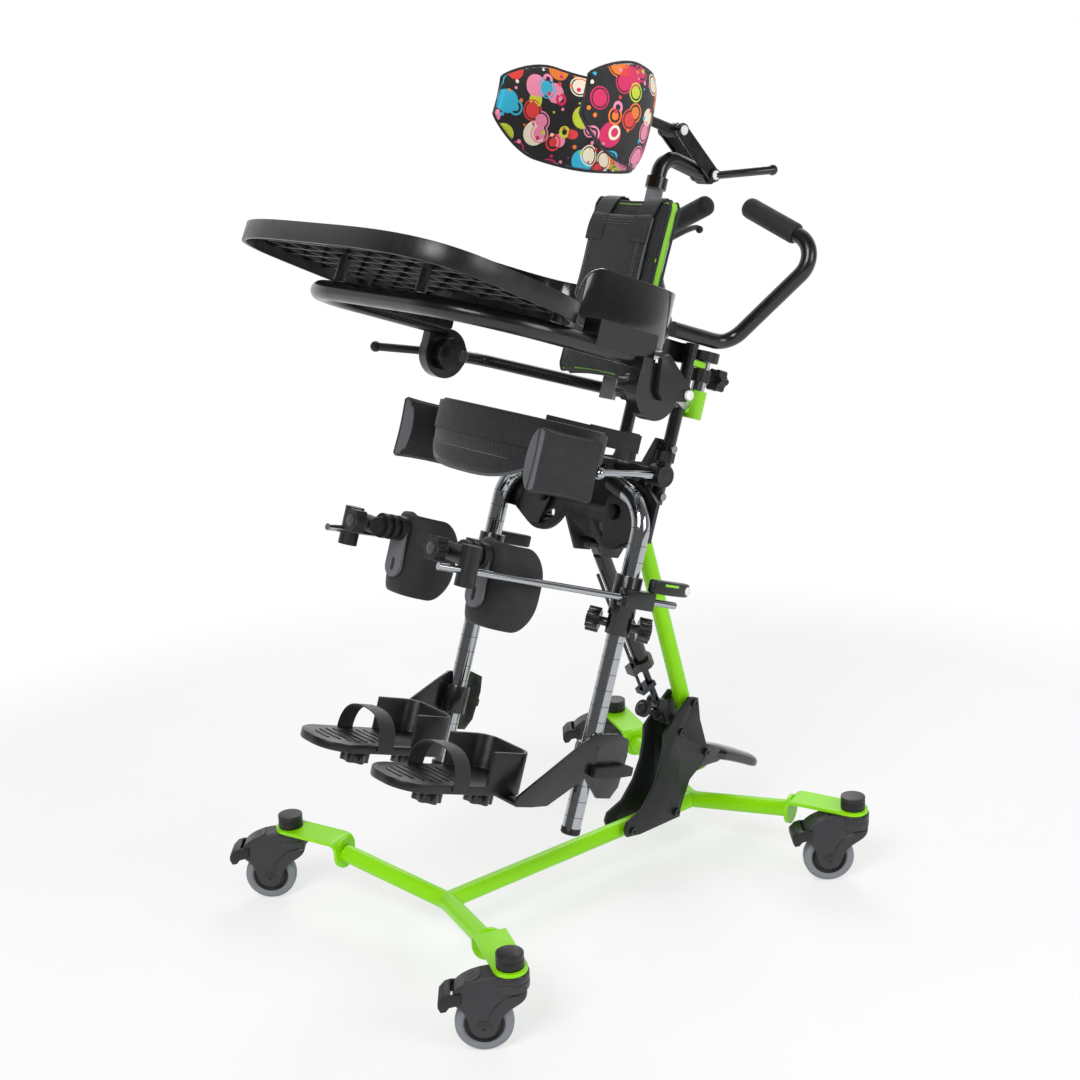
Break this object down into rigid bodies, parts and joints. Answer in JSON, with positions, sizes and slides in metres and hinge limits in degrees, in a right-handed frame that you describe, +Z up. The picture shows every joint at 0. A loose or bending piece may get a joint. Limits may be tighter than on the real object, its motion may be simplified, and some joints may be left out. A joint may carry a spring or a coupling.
{
  "type": "tilting standing frame",
  "caption": "Wheeled child's standing frame with a tilting support, tray, headrest and hip, knee and foot supports.",
  "frame": {"origin": "on the floor under the middle of the whole frame", "axes": "+Z up, -Y towards the front where the tray is, +X to the left of the person standing in it"},
  "size_m": [0.6268, 0.817, 1.1799],
  "materials": {
    "green_coat": "gloss powder coat",
    "black_coat": "satin powder coat",
    "black_plastic": "fine grained",
    "gloss_black": "gloss",
    "grey_plastic": "fine grained",
    "tyre": "smooth grey tread",
    "chrome": "polished",
    "steel": "zinc plated",
    "foam": "moulded skin foam",
    "black_cloth": "woven",
    "print_cloth": "printed stretch cloth"
  },
  "bodies": {
    "base": {"base_frame": "green_coat", "pivot_plates": "black_coat", "mast": "green_coat", "base_hardware": "black_plastic"},
    "support": {"hub_plates": "black_coat", "back_frame": "black_coat", "frame_bolts": "steel", "push_handles": "black_coat", "handle_grips": "foam", "post_sleeve": "black_plastic", "back_shell": "gloss_black", "back_pad": "black_cloth", "chest_vest": "black_cloth", "hip_belt": "black_cloth"},
    "tray_group": {"tray_tube": "black_coat", "tray": "black_plastic"},
    "leg_l": {"leg_tube_l": "chrome"},
    "leg_r": {"leg_tube_r": "chrome"},
    "headrest_post": {"headrest_post": "black_coat"},
    "headrest_arm": {"headrest_arm": "black_coat"},
    "headrest_pad": {"headrest_pad": "print_cloth"},
    "knee_clamp_l": {"knee_clamp_l": "black_plastic"},
    "knee_rod_l": {"knee_rod_l": "chrome"},
    "knee_pad_l": {"knee_pad_l": "foam"},
    "foot_bracket_l": {"foot_bracket_l": "black_coat"},
    "foot_l": {"footplate_l": "black_plastic", "foot_strap_l": "black_cloth"},
    "hip_guide_l": {"hip_guide_l": "chrome"},
    "hip_pad_l": {"hip_pad_l": "black_cloth"},
    "knee_clamp_r": {"knee_clamp_r": "black_plastic"},
    "knee_rod_r": {"knee_rod_r": "chrome"},
    "knee_pad_r": {"knee_pad_r": "foam"},
    "foot_bracket_r": {"foot_bracket_r": "black_coat"},
    "foot_r": {"footplate_r": "black_plastic", "foot_strap_r": "black_cloth"},
    "hip_guide_r": {"hip_guide_r": "chrome"},
    "hip_pad_r": {"hip_pad_r": "black_cloth"},
    "caster_fl": {"caster_housing_fl": "grey_plastic"},
    "wheel_fl": {"caster_wheel_fl": "tyre"},
    "brake_fl": {"caster_pedal_fl": "black_plastic"},
    "caster_fr": {"caster_housing_fr": "grey_plastic"},
    "wheel_fr": {"caster_wheel_fr": "tyre"},
    "brake_fr": {"caster_pedal_fr": "black_plastic"},
    "caster_rl": {"caster_housing_rl": "grey_plastic"},
    "wheel_rl": {"caster_wheel_rl": "tyre"},
    "brake_rl": {"caster_pedal_rl": "black_plastic"},
    "caster_rr": {"caster_housing_rr": "grey_plastic"},
    "wheel_rr": {"caster_wheel_rr": "tyre"},
    "brake_rr": {"caster_pedal_rr": "black_plastic"},
    "tilt_pedal": {"tilt_pedal": "black_plastic"},
    "lock_plunger": {"lock_plunger": "black_plastic"},
    "tilt_lever": {"tilt_lever": "black_plastic"},
    "tray_lever_l": {"tray_lever_l": "black_plastic"},
    "knee_lever_l": {"knee_lever_l": "black_plastic"},
    "foot_lever_l": {"foot_lever_l": "black_plastic"},
    "tray_lever_r": {"tray_lever_r": "black_plastic"},
    "knee_lever_r": {"knee_lever_r": "black_plastic"},
    "foot_lever_r": {"foot_lever_r": "black_plastic"},
    "spring_rod": {"spring_rod": "chrome"},
    "spring_cylinder": {"spring_cylinder": "black_coat"}
  },
  "joints": [
    {"name": "tilt", "type": "hinge", "parent": "base", "child": "support", "pos_m": [0.0218, 0.1312, 0.569], "axis": [1, 0, 0], "range_deg": [-35, 20]},
    {"name": "tray_slope", "type": "hinge", "parent": "support", "child": "tray_group", "pos_m": [0.0218, -0.03216, 0.78173], "axis": [1, 0, 0], "range_deg": [-12, 8]},
    {"name": "leg_spread_l", "type": "hinge", "parent": "support", "child": "leg_l", "pos_m": [0.0978, 0.0281, 0.58642], "axis": [0, -0.9426, 0.3338], "range_deg": [0, 14]},
    {"name": "leg_spread_r", "type": "hinge", "parent": "support", "child": "leg_r", "pos_m": [-0.0542, 0.0281, 0.58642], "axis": [0, 0.9426, -0.3338], "range_deg": [0, 14]},
    {"name": "headrest_height", "type": "slide", "parent": "support", "child": "headrest_post", "axis": [0, 0.3338, 0.9426], "range_m": [0, 0.06]},
    {"name": "headrest_arm_tilt", "type": "hinge", "parent": "headrest_post", "child": "headrest_arm", "pos_m": [0.0218, 0.28283, 1.01815], "axis": [1, 0, 0], "range_deg": [-15, 3]},
    {"name": "headrest_pad_tilt", "type": "hinge", "parent": "headrest_arm", "child": "headrest_pad", "pos_m": [0.0218, 0.22204, 1.08317], "axis": [1, 0, 0], "range_deg": [-12, 8]},
    {"name": "knee_height_l", "type": "slide", "parent": "leg_l", "child": "knee_clamp_l", "axis": [0, 0.3338, 0.9426], "range_m": [-0.04, 0.04]},
    {"name": "knee_depth_l", "type": "slide", "parent": "knee_clamp_l", "child": "knee_rod_l", "axis": [-0.1478, -0.9323, 0.3301], "range_m": [-0.03, 0.03]},
    {"name": "knee_pad_tilt_l", "type": "hinge", "parent": "knee_rod_l", "child": "knee_pad_l", "pos_m": [0.1138, -0.25901, 0.59685], "axis": [1, 0, 0], "range_deg": [-10, 10]},
    {"name": "foot_height_l", "type": "slide", "parent": "leg_l", "child": "foot_bracket_l", "axis": [0, 0.3338, 0.9426], "range_m": [-0.02, 0.06]},
    {"name": "foot_turn_l", "type": "hinge", "parent": "foot_bracket_l", "child": "foot_l", "pos_m": [0.1078, -0.26049, 0.28973], "axis": [0, 0.3338, 0.9426], "range_deg": [-12, 12]},
    {"name": "hip_width_l", "type": "slide", "parent": "support", "child": "hip_guide_l", "axis": [1, 0, 0], "range_m": [-0.0035, 0.01]},
    {"name": "hip_pad_swing_l", "type": "hinge", "parent": "hip_guide_l", "child": "hip_pad_l", "pos_m": [0.1688, -0.05683, 0.66847], "axis": [0, 0.3338, 0.9426], "range_deg": [0, 25]},
    {"name": "knee_height_r", "type": "slide", "parent": "leg_r", "child": "knee_clamp_r", "axis": [0, 0.3338, 0.9426], "range_m": [-0.04, 0.04]},
    {"name": "knee_depth_r", "type": "slide", "parent": "knee_clamp_r", "child": "knee_rod_r", "axis": [0.1478, -0.9323, 0.3301], "range_m": [-0.03, 0.03]},
    {"name": "knee_pad_tilt_r", "type": "hinge", "parent": "knee_rod_r", "child": "knee_pad_r", "pos_m": [-0.0702, -0.25901, 0.59685], "axis": [1, 0, 0], "range_deg": [-10, 10]},
    {"name": "foot_height_r", "type": "slide", "parent": "leg_r", "child": "foot_bracket_r", "axis": [0, 0.3338, 0.9426], "range_m": [-0.02, 0.06]},
    {"name": "foot_turn_r", "type": "hinge", "parent": "foot_bracket_r", "child": "foot_r", "pos_m": [-0.0642, -0.26049, 0.28973], "axis": [0, 0.3338, 0.9426], "range_deg": [-12, 12]},
    {"name": "hip_width_r", "type": "slide", "parent": "support", "child": "hip_guide_r", "axis": [-1, 0, 0], "range_m": [-0.0035, 0.01]},
    {"name": "hip_pad_swing_r", "type": "hinge", "parent": "hip_guide_r", "child": "hip_pad_r", "pos_m": [-0.1252, -0.05683, 0.66847], "axis": [0, -0.3338, -0.9426], "range_deg": [0, 25]},
    {"name": "caster_swivel_fl", "type": "hinge", "parent": "base", "child": "caster_fl", "pos_m": [0.2848, -0.3248, 0.1], "axis": [0, 0, 1], "continuous": true},
    {"name": "wheel_roll_fl", "type": "hinge", "parent": "caster_fl", "child": "wheel_fl", "pos_m": [0.26306, -0.35223, 0.0375], "axis": [0.7837, -0.6211, 0], "continuous": true},
    {"name": "caster_brake_fl", "type": "hinge", "parent": "caster_fl", "child": "brake_fl", "pos_m": [0.24132, -0.37966, 0.08], "axis": [0.7837, -0.6211, 0], "range_deg": [-12, 12]},
    {"name": "caster_swivel_fr", "type": "hinge", "parent": "base", "child": "caster_fr", "pos_m": [-0.2412, -0.3248, 0.1], "axis": [0, 0, 1], "continuous": true},
    {"name": "wheel_roll_fr", "type": "hinge", "parent": "caster_fr", "child": "wheel_fr", "pos_m": [-0.26294, -0.35223, 0.0375], "axis": [0.7837, -0.6211, 0], "continuous": true},
    {"name": "caster_brake_fr", "type": "hinge", "parent": "caster_fr", "child": "brake_fr", "pos_m": [-0.28468, -0.37966, 0.08], "axis": [0.7837, -0.6211, 0], "range_deg": [-12, 12]},
    {"name": "caster_swivel_rl", "type": "hinge", "parent": "base", "child": "caster_rl", "pos_m": [0.2848, 0.3152, 0.1], "axis": [0, 0, 1], "continuous": true},
    {"name": "wheel_roll_rl", "type": "hinge", "parent": "caster_rl", "child": "wheel_rl", "pos_m": [0.26306, 0.28777, 0.0375], "axis": [0.7837, -0.6211, 0], "continuous": true},
    {"name": "caster_brake_rl", "type": "hinge", "parent": "caster_rl", "child": "brake_rl", "pos_m": [0.24132, 0.26034, 0.08], "axis": [0.7837, -0.6211, 0], "range_deg": [-12, 12]},
    {"name": "caster_swivel_rr", "type": "hinge", "parent": "base", "child": "caster_rr", "pos_m": [-0.2412, 0.3152, 0.1], "axis": [0, 0, 1], "continuous": true},
    {"name": "wheel_roll_rr", "type": "hinge", "parent": "caster_rr", "child": "wheel_rr", "pos_m": [-0.26294, 0.28777, 0.0375], "axis": [0.7837, -0.6211, 0], "continuous": true},
    {"name": "caster_brake_rr", "type": "hinge", "parent": "caster_rr", "child": "brake_rr", "pos_m": [-0.28468, 0.26034, 0.08], "axis": [0.7837, -0.6211, 0], "range_deg": [-12, 12]},
    {"name": "tilt_pedal_press", "type": "hinge", "parent": "base", "child": "tilt_pedal", "pos_m": [0.0218, 0.24913, 0.14597], "axis": [1, 0, 0], "range_deg": [-12, 2], "stiffness_Nm_per_rad": 8},
    {"name": "lock_plunger_pull", "type": "slide", "parent": "base", "child": "lock_plunger", "axis": [0, -0.829, 0.5592], "range_m": [0, 0.008], "stiffness_N_per_m": 300},
    {"name": "tilt_lever_press", "type": "hinge", "parent": "support", "child": "tilt_lever", "pos_m": [-0.11913, 0.31302, 0.90539], "axis": [0, 0.9426, -0.3338], "range_deg": [-5, 1], "stiffness_Nm_per_rad": 2},
    {"name": "tray_lever_turn_l", "type": "hinge", "parent": "tray_group", "child": "tray_lever_l", "pos_m": [0.2538, -0.03216, 0.78173], "axis": [1, 0, 0], "range_deg": [-30, 30]},
    {"name": "knee_lever_turn_l", "type": "hinge", "parent": "knee_clamp_l", "child": "knee_lever_l", "pos_m": [0.1998, 0.00843, 0.4979], "axis": [0, -0.3338, -0.9426], "range_deg": [0, 25]},
    {"name": "foot_lever_turn_l", "type": "hinge", "parent": "foot_bracket_l", "child": "foot_lever_l", "pos_m": [0.1938, -0.09953, 0.27092], "axis": [1, 0, 0], "range_deg": [-20, 20]},
    {"name": "tray_lever_turn_r", "type": "hinge", "parent": "tray_group", "child": "tray_lever_r", "pos_m": [-0.2102, -0.03216, 0.78173], "axis": [1, 0, 0], "range_deg": [-30, 30]},
    {"name": "knee_lever_turn_r", "type": "hinge", "parent": "knee_clamp_r", "child": "knee_lever_r", "pos_m": [-0.1562, 0.00843, 0.4979], "axis": [0, 0.3338, 0.9426], "range_deg": [0, 25]},
    {"name": "foot_lever_turn_r", "type": "hinge", "parent": "foot_bracket_r", "child": "foot_lever_r", "pos_m": [-0.1502, -0.09953, 0.27092], "axis": [1, 0, 0], "range_deg": [-20, 20]},
    {"name": "spring_swing", "type": "hinge", "parent": "base", "child": "spring_rod", "pos_m": [0.0218, 0.1712, 0.244], "axis": [1, 0, 0], "range_deg": [-2, 2]},
    {"name": "spring_stroke", "type": "slide", "parent": "spring_rod", "child": "spring_cylinder", "axis": [0, -0.3701, 0.929], "range_m": [-0.035, 0.056]}
  ],
  "couplings": [
    {"joint": "spring_swing", "follows": "tilt", "ratio": -0.04},
    {"joint": "spring_stroke", "follows": "tilt", "m_per_rad": -0.0815}
  ]
}
